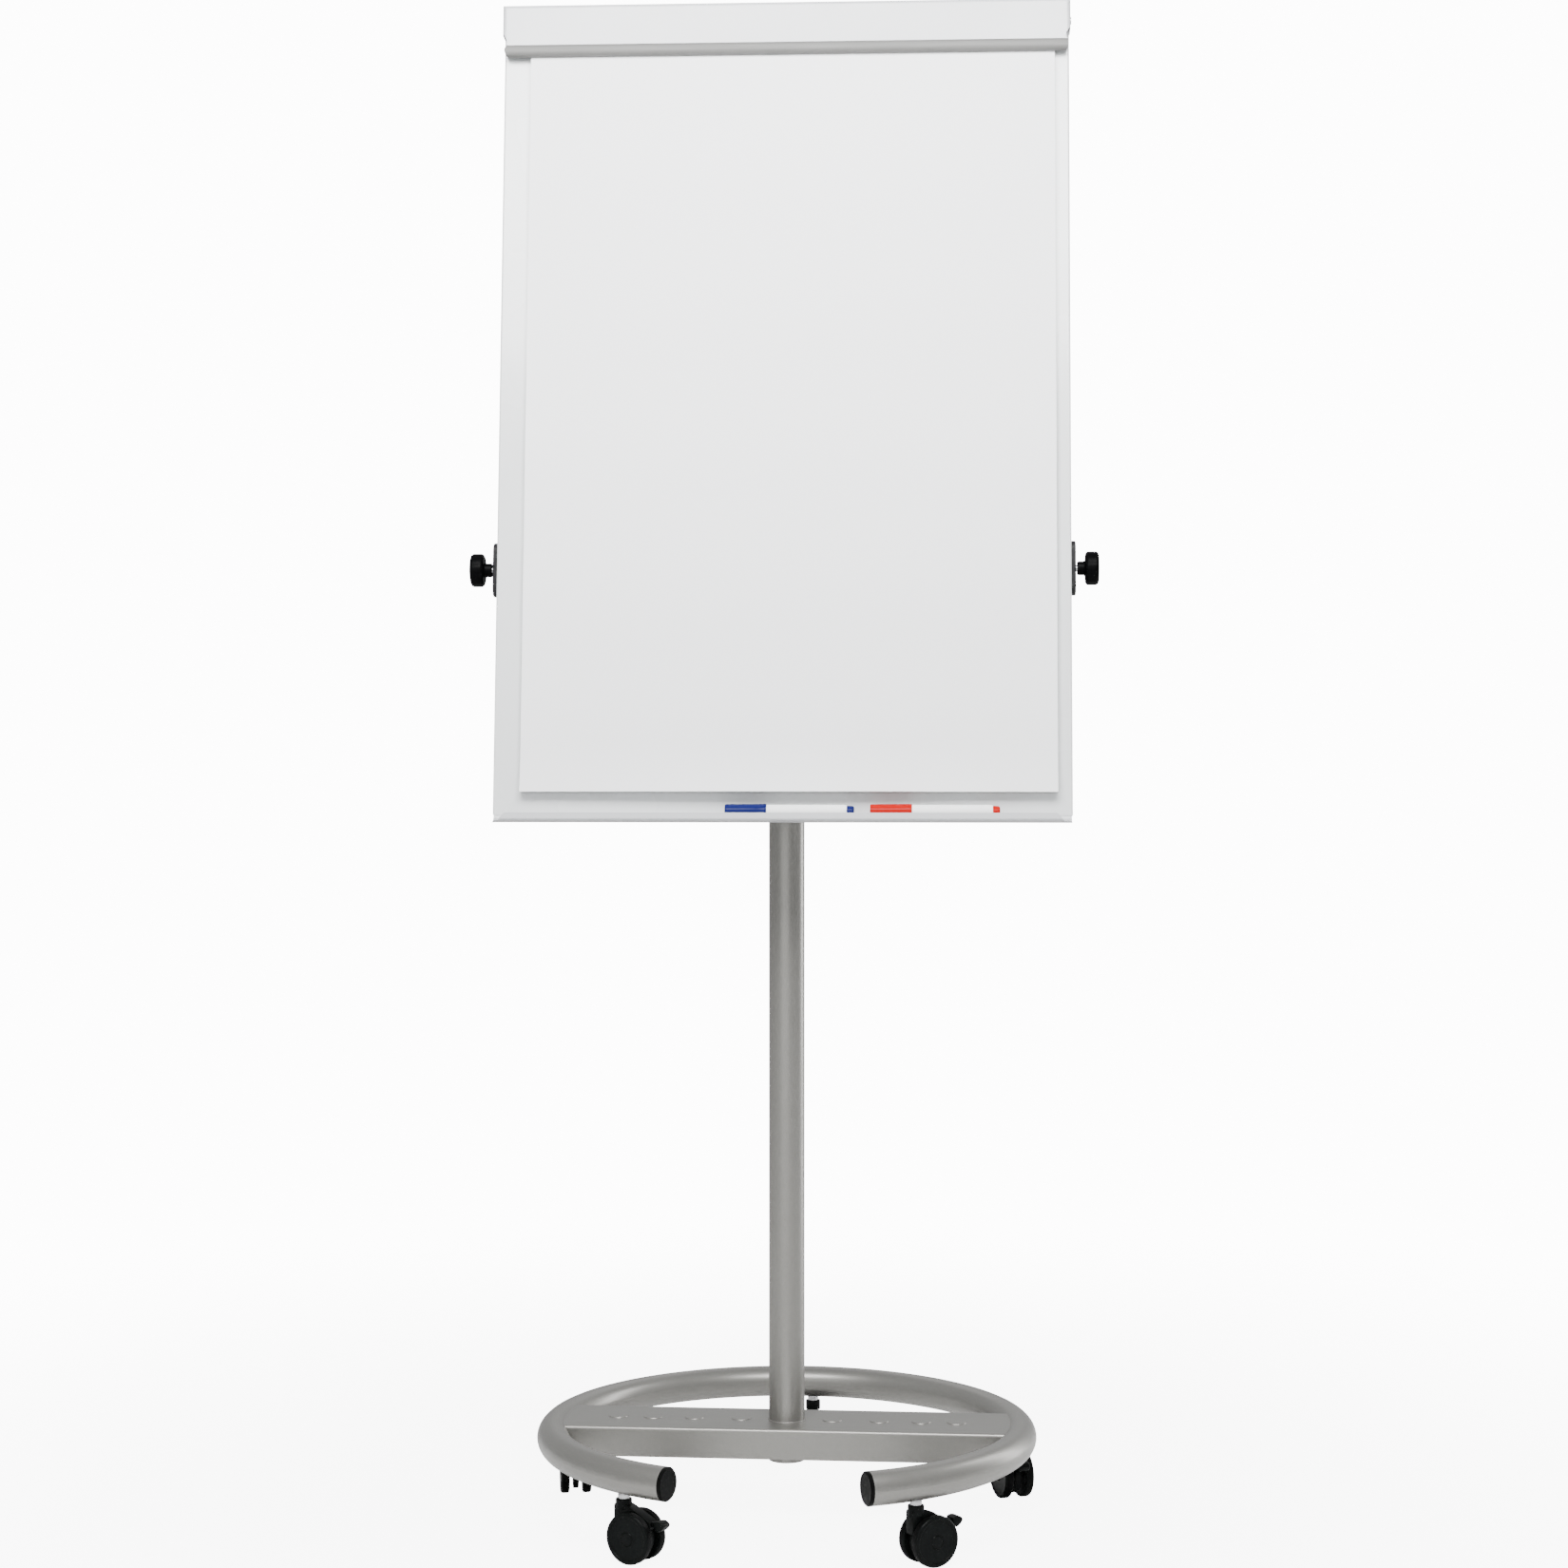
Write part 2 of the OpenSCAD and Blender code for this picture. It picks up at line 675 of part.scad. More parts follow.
module castor_housing(i) color(black_plastic) at_castor(i) difference() {
    union() {
        translate([0, 0, neck_low]) cylinder(r = neck_r, h = neck_top - neck_low);
        translate([0, castor_body_w / 2, 0]) rotate([90, 0, 0]) linear_extrude(castor_body_w) castor_head();
        translate([castor_trail, 0, wheel_r]) along_y(wheel_r - 6, -castor_fin_w / 2, castor_fin_w);
    }
    translate([0, 0, stem_low - 1]) cylinder(r = stem_r + run, h = 30);
    translate([castor_trail, 0, wheel_r]) along_y(axle_r + run, -20, 40);
    translate([lever_pivot.x, 0, lever_pivot.y]) along_y(lever_pin_r + run, -20, 40);
    translate([lever_pivot.x - 10, -lever_w / 2 - gap, lever_pivot.y - 6])
        cube([30, lever_w + 2 * gap, 30]);
}

module castor_axle(i) color(zinc) at_castor(i) translate([castor_trail, 0, wheel_r])
    along_y(axle_r, -wheel_y - 5, 2 * wheel_y + 10);

module castor_wheel(i, side) color(black_plastic) at_castor(i)
    translate([castor_trail, 0, wheel_r]) scale([1, side, 1]) rotate([-90, 0, 0]) difference() {
        union() {
            translate([0, 0, wheel_y - wheel_w / 2]) cylinder(r = wheel_r, h = wheel_w - 2);
            translate([0, 0, wheel_y + wheel_w / 2 - 2]) cylinder(r1 = wheel_r, r2 = wheel_r - 2, h = 2);
        }
        translate([0, 0, wheel_y + wheel_w / 2 - 1.2]) cylinder(r = wheel_r - 5, h = 2);
        cylinder(r = axle_r + run, h = wheel_y + 5.1);
    }

// Brake lever on its pin between the wheels, with a blunt paddle behind them
module castor_brake(i) color(black_plastic) at_castor(i) {
    translate([0, lever_w / 2, 0]) rotate([90, 0, 0]) linear_extrude(lever_w)
        polygon([[30, 44.5], [37, 43.8], [45, 44.5], [52, 45], [52, 50.5], [44, 50.6], [34, 50.2], [30, 49]]);
    translate([0, paddle_w / 2, 0]) rotate([90, 0, 0]) linear_extrude(paddle_w) polygon([
        [47.5, 51.5], [54, 53], [59, 51.5], [62, 48], [60, 44.5], [55, 40.5], [51, 40.5], [47.5, 44.5]
    ]);
    translate([lever_pivot.x, 0, lever_pivot.y]) along_y(lever_pin_r, -castor_body_w / 2, castor_body_w);
}

base_ring();
ring_end_caps();
crossbar();
column_tube();
column_foot();
column_collar();
upper_bush();
stem_sockets();
castor_stems();
lock_knob();
lock_stud();
mast_tube();
lower_bush();
head_bracket();
yoke();
head_bolts();
yoke_nuts();
tilt_knob(-1);  // tilt_knob_left
tilt_knob(1);  // tilt_knob_right
tilt_stud(-1);  // tilt_stud_left
tilt_stud(1);  // tilt_stud_right
board_panel();
pen_tray();
back_rails();
tilt_plates();
pad_pegs();
paper_pad();
clamp_flap();
clamp_bar();
clamp_bar_caps();
flap_pins();
pen_body(blue_pen_x);  // blue_pen
pen_cap(blue_pen_x, [0.2, 0.28, 0.6]);  // blue_pen_cap
pen_body(red_pen_x);  // red_pen
pen_cap(red_pen_x, [0.85, 0.25, 0.2]);  // red_pen_cap
for (i = [0 : len(CASTORS) - 1]) {
    castor_housing(i);
    castor_axle(i);
    castor_wheel(i, 1);
    castor_wheel(i, -1);
    castor_brake(i);
}
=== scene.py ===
import json
import math
import random

import bmesh
import bpy
from mathutils import Matrix, Vector, noise

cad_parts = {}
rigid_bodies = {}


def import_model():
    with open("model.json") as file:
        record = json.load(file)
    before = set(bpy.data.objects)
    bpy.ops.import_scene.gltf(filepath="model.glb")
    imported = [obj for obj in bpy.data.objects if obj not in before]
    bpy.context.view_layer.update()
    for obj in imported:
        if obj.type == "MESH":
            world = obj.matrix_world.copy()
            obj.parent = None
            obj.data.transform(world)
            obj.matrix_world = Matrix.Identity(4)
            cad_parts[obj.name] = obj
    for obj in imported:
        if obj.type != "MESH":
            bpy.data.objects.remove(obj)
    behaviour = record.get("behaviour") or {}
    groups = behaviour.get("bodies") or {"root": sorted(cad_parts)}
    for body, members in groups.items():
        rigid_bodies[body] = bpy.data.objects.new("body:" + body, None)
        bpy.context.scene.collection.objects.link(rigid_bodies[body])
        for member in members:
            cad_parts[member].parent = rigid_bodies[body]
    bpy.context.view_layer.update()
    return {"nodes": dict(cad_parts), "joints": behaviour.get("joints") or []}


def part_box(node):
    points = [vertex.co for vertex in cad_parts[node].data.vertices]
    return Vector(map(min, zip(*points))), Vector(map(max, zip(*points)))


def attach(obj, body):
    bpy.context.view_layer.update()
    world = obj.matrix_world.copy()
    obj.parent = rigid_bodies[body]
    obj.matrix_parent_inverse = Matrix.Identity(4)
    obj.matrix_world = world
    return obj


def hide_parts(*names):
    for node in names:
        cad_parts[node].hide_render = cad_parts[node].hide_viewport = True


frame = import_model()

# ---------------------------------------------------------------- places

MM = 0.001
JOINTS = {j["name"]: j for j in frame["joints"]}
NODES = frame["nodes"]
CASTORS = ["front_right", "mid_right", "rear", "mid_left", "front_left"]

TILT = math.radians(6)          # the board leans back by this much
PIVOT = Vector(JOINTS["board_tilt"]["pos_m"])
PIVOT_ON_BOARD = Vector((0.0, 14 * MM, 312 * MM))       # the tilt axis in the board's own frame
BOARD_SIDE = 350 * MM           # from the board's middle to its sides
BAR_TOP = 113 * MM              # height of the crossbar's top face
COLUMN_R = 22.25 * MM


def board_frame():
    """The board's own frame: X right, Y out of its back, Z up along it, origin under its face."""
    turn = Matrix.Rotation(-TILT, 4, "X")
    return Matrix.Translation(PIVOT) @ turn @ Matrix.Translation(-PIVOT_ON_BOARD)


ON_BOARD = board_frame()


def castor_frame(name):
    """A castor's own frame: origin on the floor under its stem, X trailing towards the axle."""
    stem = Vector(JOINTS[name + "_swivel"]["pos_m"])
    axle = Vector(JOINTS[name + "_roll_a"]["pos_m"])
    trail = Vector((axle.x - stem.x, axle.y - stem.y, 0.0)).normalized()
    across = Vector((-trail.y, trail.x, 0.0))
    m = Matrix((trail, across, Vector((0, 0, 1)))).transposed().to_4x4()
    return Matrix.Translation((stem.x, stem.y, 0.0)) @ m


# ---------------------------------------------------------------- materials

BACKDROP = 13.0     # brightness of the white backdrop that the camera sees


class Shader:
    """A Principled material built up from procedural textures in the frame's own metres."""

    def __init__(self, name, colour, roughness, metallic=0.0, **sockets):
        self.mat = bpy.data.materials.new(name)
        self.mat.use_nodes = True
        self.tree = self.mat.node_tree
        self.bsdf = self.tree.nodes["Principled BSDF"]
        self.bsdf.inputs["Base Color"].default_value = (*colour, 1.0)
        self.bsdf.inputs["Roughness"].default_value = roughness
        self.bsdf.inputs["Metallic"].default_value = metallic
        for socket, value in sockets.items():
            self.bsdf.inputs[socket.replace("_", " ")].default_value = value
        self.mat.diffuse_color = (*colour, 1.0)
        self.colour = colour
        self.roughness = roughness
        self.coords = self.new("ShaderNodeTexCoord").outputs["Object"]

    def new(self, kind, **props):
        node = self.tree.nodes.new(kind)
        for key, value in props.items():
            setattr(node, key, value)
        return node

    def link(self, a, b):
        self.tree.links.new(a, b)

    def noise(self, scale, detail=3.0, stretch=(1, 1, 1), rough=0.5):
        """Noise with about `scale` features a metre, drawn out where `stretch` is below 1."""
        mapping = self.new("ShaderNodeMapping")
        mapping.inputs["Scale"].default_value = stretch
        tex = self.new("ShaderNodeTexNoise")
        tex.inputs["Scale"].default_value = scale
        tex.inputs["Detail"].default_value = detail
        tex.inputs["Roughness"].default_value = rough
        self.link(self.coords, mapping.inputs["Vector"])
        self.link(mapping.outputs["Vector"], tex.inputs["Vector"])
        return tex.outputs["Fac"]

    def ramp(self, fac, low, high, colours):
        node = self.new("ShaderNodeValToRGB")
        node.color_ramp.elements[0].position = low
        node.color_ramp.elements[1].position = high
        for element, colour in zip(node.color_ramp.elements, colours):
            element.color = (*colour, 1.0)
        self.link(fac, node.inputs["Fac"])
        return node.outputs["Color"]

    def mottle(self, scale, amount, **kw):
        """Varies the colour by `amount` either way."""
        dark = [c * (1 - amount) for c in self.colour]
        light = [min(1.0, c * (1 + amount)) for c in self.colour]
        self.link(self.ramp(self.noise(scale, **kw), 0.35, 0.65, (dark, light)),
                  self.bsdf.inputs["Base Color"])
        return self

    def smudge(self, scale, amount, **kw):
        """Varies the roughness by `amount` either way."""
        node = self.new("ShaderNodeMapRange")
        node.inputs["From Min"].default_value = 0.35
        node.inputs["From Max"].default_value = 0.65
        node.inputs["To Min"].default_value = self.roughness - amount
        node.inputs["To Max"].default_value = self.roughness + amount
        self.link(self.noise(scale, **kw), node.inputs["Value"])
        self.link(node.outputs["Result"], self.bsdf.inputs["Roughness"])
        return self

    def grain(self, scale, height, **kw):
        """Raises the surface by a fine noise of about `height` metres; calls add up."""
        bump = self.new("ShaderNodeBump")
        bump.inputs["Strength"].default_value = 1.0
        bump.inputs["Distance"].default_value = height
        self.link(self.noise(scale, **kw), bump.inputs["Height"])
        normal = self.bsdf.inputs["Normal"]
        if normal.links:
            self.link(normal.links[0].from_socket, bump.inputs["Normal"])
        self.link(bump.outputs["Normal"], normal)
        return self


def silver_paint():
    s = Shader("silver_paint", (0.232, 0.227, 0.213), 0.38, 0.74,
               Coat_Weight=0.1, Coat_Roughness=0.2)
    return s.mottle(2600, 0.10, detail=2).smudge(9, 0.04).grain(420, 0.00004).mat


def white_steel():
    s = Shader("white_steel", (0.675, 0.69, 0.695), 0.26,
               Coat_Weight=0.5, Coat_Roughness=0.12)
    return s.mottle(5, 0.012).smudge(7, 0.035).grain(260, 0.000025).mat


# Painted shade: a darker copy of the white steel for the flap and the pen tray, standing in for
# the lesser light that falls on their faces.
def white_steel_painted_shade():
    s = Shader("white_steel_painted_shade", (0.50, 0.51, 0.525), 0.32,
               Coat_Weight=0.3, Coat_Roughness=0.16)
    return s.mottle(6, 0.012).smudge(9, 0.04).grain(300, 0.00003).mat


def black_paint():
    s = Shader("black_paint", (0.010, 0.010, 0.0105), 0.42, Specular_IOR_Level=0.35)
    return s.mottle(90, 0.25).smudge(30, 0.06).grain(700, 0.00006).mat


def black_plastic():
    s = Shader("black_plastic", (0.0030, 0.0031, 0.0030), 0.36, Specular_IOR_Level=0.04)
    return s.mottle(160, 0.3).smudge(40, 0.06).grain(1400, 0.00008, detail=2).mat


def knob_black():
    s = Shader("knob_black", (0.0011, 0.0011, 0.0013), 0.42, Specular_IOR_Level=0.03)
    return s.mottle(160, 0.3).smudge(40, 0.06).grain(1400, 0.00008, detail=2).mat


def castor_black():
    s = Shader("castor_black", (0.0038, 0.0045, 0.0043), 0.34, Specular_IOR_Level=0.055)
    return s.mottle(120, 0.2).smudge(60, 0.05).grain(1100, 0.00002, detail=2).mat


def wheel_tread():
    s = Shader("wheel_tread", (0.0026, 0.0027, 0.0027), 0.5, Specular_IOR_Level=0.05)
    return s.mottle(220, 0.4).smudge(80, 0.08).grain(900, 0.00012).mat


def grey_plastic():
    s = Shader("grey_plastic", (0.012, 0.012, 0.013), 0.42, Specular_IOR_Level=0.12)
    return s.mottle(140, 0.2).smudge(50, 0.05).grain(1300, 0.00008, detail=2).mat


def zinc_steel():
    s = Shader("zinc_steel", (0.52, 0.52, 0.53), 0.28, 1.0)
    return s.mottle(60, 0.08).smudge(35, 0.07).grain(900, 0.00003).mat


def satin_aluminium():
    s = Shader("satin_aluminium", (0.138, 0.138, 0.133), 0.6, 0.12, Specular_IOR_Level=0.3)
    s.mottle(900, 0.05, stretch=(0.02, 1, 1))
    s.smudge(500, 0.05, stretch=(0.02, 1, 1))
    return s.grain(1500, 0.00003, stretch=(0.01, 1, 1)).mat


def paper_white():
    s = Shader("paper_white", (0.89, 0.895, 0.905), 0.82, Specular_IOR_Level=0.3)
    return s.mottle(900, 0.012, detail=5).smudge(300, 0.05).grain(1800, 0.00004, detail=5).mat


def paper_edge():
    s = Shader("paper_edge", (0.70, 0.71, 0.69), 0.9, Specular_IOR_Level=0.2)
    s.mottle(4200, 0.10, stretch=(1, 1, 0.03))
    return s.grain(5000, 0.00006, stretch=(1, 1, 0.05)).mat


def grey_card():
    s = Shader("grey_card", (0.22, 0.21, 0.19), 0.92, Specular_IOR_Level=0.2)
    return s.mottle(700, 0.14, detail=5).grain(1200, 0.00008, detail=5).mat


def binding_tape():
    s = Shader("binding_tape", (0.3, 0.31, 0.33), 0.6)
    return s.mottle(500, 0.06, detail=4).grain(2200, 0.00004).mat


def gloss(name, colour):
    """Smooth moulded plastic of the markers."""
    s = Shader(name, colour, 0.22, Specular_IOR_Level=0.06)
    return s.mottle(45, 0.035).smudge(70, 0.04).grain(600, 0.00002).mat


def floor_matte():
    """Pale matte whose camera view fades into the backdrop's white away from the object."""
    s = Shader("floor_matte", (0.90, 0.90, 0.90), 0.8, Specular_IOR_Level=0.1)
    s.mottle(3, 0.004)
    length = s.new("ShaderNodeVectorMath", operation="LENGTH")
    s.link(s.coords, length.inputs[0])
    fade = s.new("ShaderNodeMapRange", interpolation_type="SMOOTHSTEP")
    fade.inputs["From Min"].default_value = 0.3
    fade.inputs["From Max"].default_value = 2.4
    fade.inputs["To Min"].default_value = 0.6
    s.link(length.outputs["Value"], fade.inputs["Value"])
    seen = s.new("ShaderNodeMath", operation="MULTIPLY")
    s.link(s.new("ShaderNodeLightPath").outputs["Is Camera Ray"], seen.inputs[0])
    s.link(fade.outputs["Result"], seen.inputs[1])
    glow = s.new("ShaderNodeEmission")
    glow.inputs["Color"].default_value = (BACKDROP, BACKDROP, BACKDROP, 1.0)
    mix = s.new("ShaderNodeMixShader")
    s.link(seen.outputs[0], mix.inputs[0])
    s.link(s.bsdf.outputs[0], mix.inputs[1])
    s.link(glow.outputs[0], mix.inputs[2])
    s.link(mix.outputs[0], s.tree.nodes["Material Output"].inputs["Surface"])
    return s.mat


MATERIAL = {
    "silver": silver_paint(),
    "white": white_steel(),
    "flap": white_steel_painted_shade(),
    "black_paint": black_paint(),
    "black": black_plastic(),
    "knob": knob_black(),
    "castor": castor_black(),
    "tread": wheel_tread(),
    "grey": grey_plastic(),
    "zinc": zinc_steel(),
    "alu": satin_aluminium(),
    "paper": paper_white(),
    "paper_edge": paper_edge(),
    "card": grey_card(),
    "tape": binding_tape(),
    "pen_white": gloss("pen_white", (0.90, 0.905, 0.90)),
    "blue": gloss("marker_blue", (0.0070, 0.0105, 0.085)),
    "red": gloss("marker_red", (0.36, 0.0020, 0.0008)),
    "floor": floor_matte(),
}

CAD_LOOK = {
    "silver": ["base_ring", "crossbar", "column_tube", "column_foot"],
    "white": ["board_panel", "back_rails"],
    # The flap and the pen tray get the white steel with painted shade.
    "flap": ["clamp_flap", "pen_tray"],
    "black_paint": ["head_bracket", "yoke"],
    "black": ["ring_end_caps", "column_collar", "upper_bush", "stem_sockets", "lower_bush"],
    "zinc": ["castor_stems", "lock_stud", "mast_tube", "head_bolts", "yoke_nuts",
             "tilt_stud_left", "tilt_stud_right", "pad_pegs", "flap_pins"]
            + [c + "_axle" for c in CASTORS],
    "alu": ["clamp_bar", "clamp_bar_caps"],
}


def dress_cad_nodes():
    for look, names in CAD_LOOK.items():
        for name in names:
            for part in mesh_objects(NODES[name]):
                part.data.materials.clear()
                part.data.materials.append(MATERIAL[look])


def mesh_objects(obj):
    """The mesh objects of a CAD node."""
    found = [obj] if obj.type == "MESH" else []
    return found + [o for o in obj.children_recursive if o.type == "MESH"]


# ---------------------------------------------------------------- mesh helpers


def add_piece(name, bm, look, body, place=None, smooth=35.0):
    """Turns a bmesh into a piece that rides on a body, smooth-shaded below an angle in degrees."""
    if place is not None:
        bmesh.ops.transform(bm, matrix=place, verts=bm.verts)
    bmesh.ops.recalc_face_normals(bm, faces=bm.faces)
    mesh = bpy.data.meshes.new(name)
    bm.to_mesh(mesh)
    bm.free()
    looks = [look] if isinstance(look, str) else look
    for each in looks:
        mesh.materials.append(MATERIAL[each])
    obj = bpy.data.objects.new(name, mesh)
    bpy.context.scene.collection.objects.link(obj)
    mesh.shade_smooth()
    mesh.set_sharp_from_angle(angle=math.radians(smooth))
    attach(obj, body)
    return obj


def arc(cx, cy, r, start, end, steps):
    """Points on an arc, angles in degrees, both ends included."""
    for i in range(steps + 1):
        a = math.radians(start + (end - start) * i / steps)
        yield (cx + r * math.cos(a), cy + r * math.sin(a))


def lathe(bm, profile, segments=64, radius_at=None):
    """Turns a (radius, height) profile about Z; radius_at(radius, height, angle) may flute it."""
    rings = []
    for r, h in profile:
        if r < 1e-7:
            rings.append([bm.verts.new((0, 0, h))])
            continue
        ring = []
        for i in range(segments):
            a = 2 * math.pi * i / segments
            rr = radius_at(r, h, a) if radius_at else r
            ring.append(bm.verts.new((rr * math.cos(a), rr * math.sin(a), h)))
        rings.append(ring)
    for low, high in zip(rings, rings[1:]):
        if len(low) == 1 and len(high) == 1:
            continue
        for i in range(segments):
            j = (i + 1) % segments
            if len(low) == 1:
                bm.faces.new((low[0], high[j], high[i]))
            elif len(high) == 1:
                bm.faces.new((low[i], low[j], high[0]))
            else:
                bm.faces.new((low[i], low[j], high[j], high[i]))


def bevel_edges(bm, edges, width, segments):
    bmesh.ops.bevel(bm, geom=list(edges), offset=width, segments=segments, profile=0.5,
                    affect="EDGES")


def extrude_outline(bm, points, low, high, bevel=0.0, segments=2):
    """A prism from an outline in X and Z, between two values of Y, its rims bevelled."""
    near = [bm.verts.new((x, low, z)) for x, z in points]
    far = [bm.verts.new((x, high, z)) for x, z in points]
    caps = [bm.faces.new(near), bm.faces.new(far[::-1])]
    for i in range(len(points)):
        j = (i + 1) % len(points)
        bm.faces.new((near[j], near[i], far[i], far[j]))
    if bevel:
        bevel_edges(bm, {e for f in caps for e in f.edges}, bevel, segments)


def block(bm, lo, hi, bevel=0.0):
    """A box between two corners, its edges bevelled where a width is given."""
    lo, hi = Vector(lo), Vector(hi)
    verts = bmesh.ops.create_cube(bm, size=1.0)["verts"]
    bmesh.ops.scale(bm, vec=hi - lo, verts=verts)
    bmesh.ops.translate(bm, vec=(lo + hi) / 2, verts=verts)
    if bevel:
        bevel_edges(bm, {e for v in verts for e in v.link_edges}, bevel, 2)


def loft(bm, rings):
    """Closed rings of points joined one to the next, with both ends capped."""
    made = [[bm.verts.new(point) for point in ring] for ring in rings]
    for low, high in zip(made, made[1:]):
        for i in range(len(low)):
            j = (i + 1) % len(low)
            bm.faces.new((low[i], low[j], high[j], high[i]))
    bm.faces.new(made[0])
    bm.faces.new(made[-1][::-1])


def merge(into, part):
    """Adds one bmesh to another and frees it."""
    mesh = bpy.data.meshes.new("part")
    part.to_mesh(mesh)
    part.free()
    into.from_mesh(mesh)
    bpy.data.meshes.remove(mesh)


def in_mm(points):
    return [tuple(c * MM for c in point) for point in points]


def turn_to(axis_from_z):
    """Rotation that takes +Z onto the given direction."""
    return Vector((0, 0, 1)).rotation_difference(Vector(axis_from_z)).to_matrix().to_4x4()


# ---------------------------------------------------------------- knobs and plates


def hand_knob_profile(r, length, hub_r, hub_len):
    """Radius and height of a domed hand knob on a round hub; the hub starts at 0."""
    edge = 0.24 * length                    # radius of the rim's two edges
    soft = min(1.8 * MM, 0.45 * hub_len)    # radius of the hub's end
    foot = hub_len + 0.6 * MM
    top = hub_len + length
    points = [(0.0, 0.0), (hub_r - soft, 0.0)]
    points += arc(hub_r - soft, soft, soft, -90, 0, 5)
    points += [(hub_r, hub_len - 1.5 * MM), (hub_r + 1.0 * MM, hub_len), (r - edge * 1.1, foot)]
    points += arc(r - edge, foot + edge, edge, -80, 0, 6)
    points += arc(r - edge, top - edge, edge, 0, 82, 8)
    points += [(r * 0.62, top - 0.5 * MM), (r * 0.60, top - 1.1 * MM), (0.0, top - 1.1 * MM)]
    return points


def flute(r_outer, count, depth):
    """A rim that dips `count` times by `depth`, only near its outer radius."""
    def radius_at(r, _height, a):
        share = max(0.0, (r / r_outer - 0.8) / 0.2)
        dip = 0.5 - 0.5 * math.cos(count * a)
        return r - depth * share * dip ** 3
    return radius_at


def knob_piece(name, node, body, origin, direction, r, length, hub_r, hub_len):
    bm = bmesh.new()
    lathe(bm, hand_knob_profile(r, length, hub_r, hub_len), 144, flute(r, 12, 0.3 * MM))
    piece = add_piece(name, bm, "knob", body,
                      Matrix.Translation(origin) @ turn_to(direction), smooth=50)
    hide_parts(node)


def side_knobs():
    r, length, hub_r, hub_len = 20.4 * MM, 17 * MM, 8.5 * MM, 9 * MM
    for side, sign in (("left", -1), ("right", 1)):
        lo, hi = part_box("tilt_knob_" + side)
        inner = max(abs(lo[0]), abs(hi[0])) - length - hub_len
        knob_piece("side_knob_" + side, "tilt_knob_" + side, side + "_knob",
                   Vector((sign * inner, PIVOT.y, PIVOT.z)), (sign, 0, 0),
                   r, length, hub_r, hub_len)


def column_knob():
    r, length, hub_r, hub_len = 19.8 * MM, 15 * MM, 9 * MM, 1 * MM
    lo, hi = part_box("lock_knob")
    knob_piece("column_hand_knob", "lock_knob", "column_lock",
               Vector((0, lo[1], (lo[2] + hi[2]) / 2)), (0, 1, 0), r, length, hub_r, hub_len)


def stadium(r, half, steps=16):
    """A round-ended outline, half its straight length along Z."""
    return [(y, z + half) for y, z in arc(0, 0, r, 0, 180, steps)] \
        + [(y, z - half) for y, z in arc(0, 0, r, 180, 360, steps)]


def friction_plates():
    """Round-ended plates on the board's sides, about the tilt axis, their outer rims soft."""
    r, t, half, soft, chamfer = 11.5 * MM, 5.4 * MM, 22 * MM, 1.8 * MM, 0.3 * MM
    section = [(0.0, chamfer), (chamfer, 0.0)]      # depth and inset of each ring
    section += [(t - soft + h, soft - w) for w, h in arc(0, 0, soft, 0, 90, 5)]
    bm = bmesh.new()
    for sign in (-1, 1):
        part = bmesh.new()
        loft(part, [[(y, depth, z) for y, z in stadium(r - inset, half)]
                    for depth, inset in section])
        place = Matrix.Translation((sign * BOARD_SIDE, PIVOT.y, PIVOT.z)) \
            @ Matrix.Rotation(-TILT, 4, "X") @ Matrix.Rotation(-sign * math.pi / 2, 4, "Z")
        bmesh.ops.transform(part, matrix=place, verts=part.verts)
        merge(bm, part)
    piece = add_piece("friction_plates", bm, "grey", "board")
    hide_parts("tilt_plates")


# ---------------------------------------------------------------- castors

TRAIL = 17.5 * MM       # from a castor's stem back to its axle
AXLE_Z = 30 * MM
WHEEL_W = 11 * MM
WHEEL_IN = 8.5 * MM     # from a castor's middle out to a wheel's inner face
TREAD_R = 28.4 * MM     # the tread's look starts at this radius

# Outlines in X and Z, in mm, in a castor's own frame
HEAD = [(-9.2, 39), (-9.2, 64), (-8.4, 66), (8.5, 66.2), (24, 59.2), (39.5, 52), (42.6, 49.6),
        (43.2, 47.5), (42.3, 42), (38, 38.3)]
LEVER_ARM = [(30.2, 44.8), (37, 44), (45, 44.7), (52, 45.2), (52, 50.3), (44, 50.4), (34, 50),
             (30.2, 48.8)]
LEVER_PADDLE = [(47.6, 51.4), (51, 52.3), (54, 52.8), (57, 52.3), (59.2, 51.2), (61, 49.6),
                (61.7, 47.8), (60.6, 45.6), (58, 42.9), (55, 40.8), (53, 40.3), (51, 40.8),
                (48.6, 43.4), (47.6, 45)]


def wheel_profile():
    """Half of a twin wheel: tread with round shoulders, and a face with a dish and a hub."""
    r, w = AXLE_Z, WHEEL_W
    pts = in_mm([(3.05, 0.6), (12, 0.6), (12.5, 0.0)]) + [(r - 2.2 * MM, 0.0)]
    pts += arc(r - 2.2 * MM, 2.2 * MM, 2.2 * MM, -90, 0, 5)
    pts += arc(r - 3.2 * MM, w - 3.2 * MM, 3.2 * MM, 0, 78, 7)
    pts += [(25.4 * MM, w), (25.0 * MM, w - 0.2 * MM), (24.6 * MM, w - 0.9 * MM),
            (23.0 * MM, w - 1.1 * MM), (8.2 * MM, w - 0.8 * MM), (7.8 * MM, w - 0.3 * MM)]
    pts += arc(6.6 * MM, w - 1.3 * MM, 1.2 * MM, 10, 90, 4)
    pts += [(0.0, w - 0.05 * MM)]
    return pts


def wheel(name, suffix, sign, place):
    bm = bmesh.new()
    lathe(bm, wheel_profile(), 96)
    for f in bm.faces:
        c = f.calc_center_median()
        on_tread = math.hypot(c.x, c.y) > TREAD_R and 1.5 * MM < c.z < 8.5 * MM
        f.material_index = 1 if on_tread else 0
    at = place @ Matrix.Translation((TRAIL, sign * WHEEL_IN, AXLE_Z)) @ turn_to((0, sign, 0))
    piece = add_piece(f"{name}_{suffix}_twin_wheel", bm, ["castor", "tread"],
                      f"{name}_roller_{suffix}", at, smooth=40)
    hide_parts(f"{name}_wheel_{suffix}")


